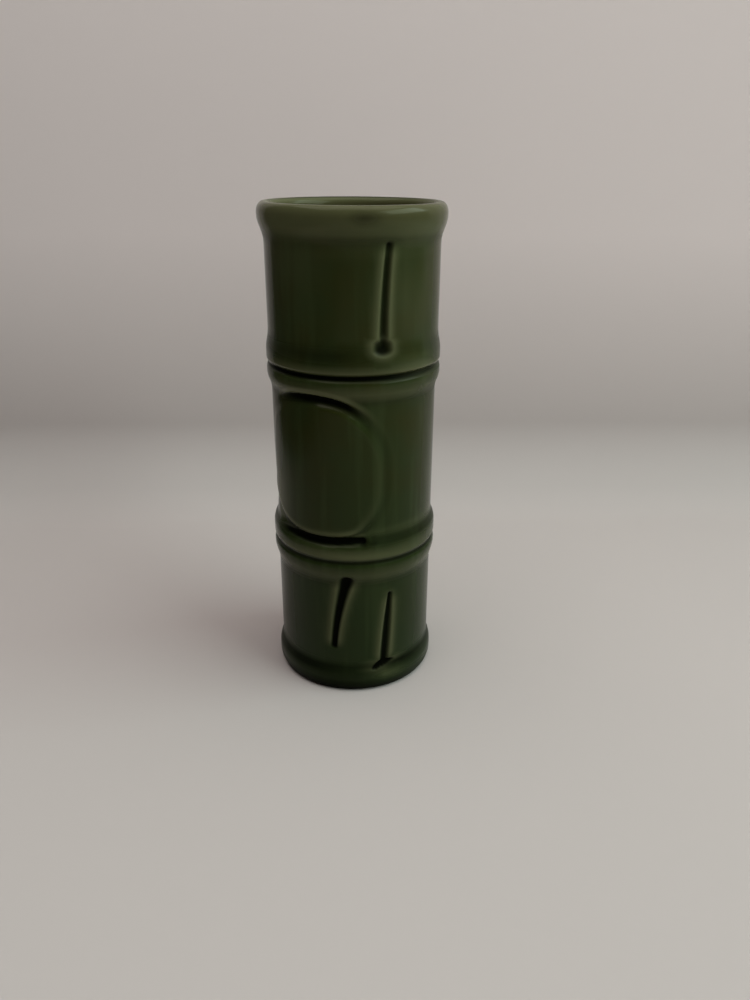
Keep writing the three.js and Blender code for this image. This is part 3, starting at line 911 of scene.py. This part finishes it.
def make_sheet(name, left, right):
    """A sheet of the stage: a line along the floor and up the wall, drawn out to the right."""
    bm = bmesh.new()
    bend = arc((SWEEP_START, SWEEP_RADIUS), SWEEP_RADIUS, SWEEP_RADIUS, -90, 0, BEND_STEPS)
    path = [(-SWEEP_REACH, 0)] + bend + [(SWEEP_START + SWEEP_RADIUS, SWEEP_TOP)]
    line = [bm.verts.new((left, y, z)) for y, z in path]
    edges = [bm.edges.new(pair) for pair in zip(line, line[1:])]
    drawn = bmesh.ops.extrude_edge_only(bm, edges=edges)
    moved = [g for g in drawn["geom"] if isinstance(g, bmesh.types.BMVert)]
    bmesh.ops.translate(bm, vec=(right - left, 0, 0), verts=moved)
    bmesh.ops.recalc_face_normals(bm, faces=bm.faces)
    if sum(f.normal.z for f in bm.faces) < 0:
        bmesh.ops.reverse_faces(bm, faces=bm.faces)
    sheet = make_smooth(name, bm)
    return sheet


sweep = make_sheet("sweep", SWEEP_LEFT, SWEEP_RIGHT)
more_sweep = make_sheet("more_sweep", -SWEEP_REACH, SWEEP_LEFT)
more_sweep.visible_diffuse = False
more_sweep.visible_glossy = False
more_sweep.visible_shadow = False

# %% [markdown]
# ## Paper
# The sheets are matt paper, paler up the wall, where less light falls. The wall stands between the vase and
# a camera behind it, so to the camera the back of the paper is clear.

# %% Make the paper
paper, tree = new_material("pale_paper")
place = add(tree, "ShaderNodeTexCoord", {}, {}).outputs["Object"]
height = add(tree, "ShaderNodeSeparateXYZ", {}, {"Vector": place}).outputs["Z"]
up_wall = add(
    tree, "ShaderNodeMapRange", {},
    {"Value": height, "From Min": 10 * MM, "From Max": 150 * MM},
).outputs["Result"]
white = add(
    tree, "ShaderNodeMix", {"data_type": "RGBA"},
    {"Factor": up_wall, 6: linear("#beb5b3"), 7: linear("#f0e2e1")},
).outputs[2]
matt = add(
    tree, "ShaderNodeBsdfPrincipled", {},
    {"Base Color": white, "Roughness": 0.9, "Specular IOR Level": 0.1},
)
seen = add(tree, "ShaderNodeLightPath", {}, {}).outputs["Is Camera Ray"]
back = add(tree, "ShaderNodeNewGeometry", {}, {}).outputs["Backfacing"]
from_behind = add(tree, "ShaderNodeMath", {"operation": "MULTIPLY"}, {0: seen, 1: back}).outputs[0]
clear = add(tree, "ShaderNodeBsdfTransparent", {}, {}).outputs[0]
one_way = add(tree, "ShaderNodeMixShader", {}, {0: from_behind, 1: matt.outputs[0], 2: clear})
add(tree, "ShaderNodeOutputMaterial", {}, {"Surface": one_way.outputs[0]})
for sheet in (sweep, more_sweep):
    sheet.data.materials.append(paper)
print("paper:", len(tree.nodes), "nodes")

# %% [markdown]
# ## Light
# The light is soft and comes from above and from the right. A square panel overhead lights the floor, a wide
# one high at the right brings out the carving, and a dim room fills the shadows.

# %% Make the lights
# Name, place of the middle, width, height, colour and watts. Each faces the middle of the vase.
PANELS = (
    ("overhead", (0, 50, 900), 1000, 1000, "#fffcf8", 7.8),
    ("right", (1650, -171, 1350), 3000, 1000, "#e0f5ee", 52),
)
ROOM = "#3a3937"

target = Vector((0, 0, HEIGHT / 2))
for name, middle, width, tall, colour, watts in PANELS:
    lamp = bpy.data.lights.new(name, "AREA")
    lamp.shape = "RECTANGLE"
    lamp.size = width * MM
    lamp.size_y = tall * MM
    lamp.energy = watts
    lamp.color = linear(colour)[:3]
    panel = bpy.data.objects.new(name, lamp)
    facing = (Vector(middle) - target).to_track_quat("Z", "Y")
    panel.matrix_world = Matrix.Translation(Vector(middle) * MM) @ facing.to_matrix().to_4x4()
    panel.visible_camera = False
    bpy.context.scene.collection.objects.link(panel)

room = bpy.data.worlds.new("room")
room.use_nodes = True
room.node_tree.nodes["Background"].inputs["Color"].default_value = linear(ROOM)
bpy.context.scene.world = room
bpy.context.scene.view_settings.view_transform = "Standard"
print("lights:", len(PANELS), "panels and a room")
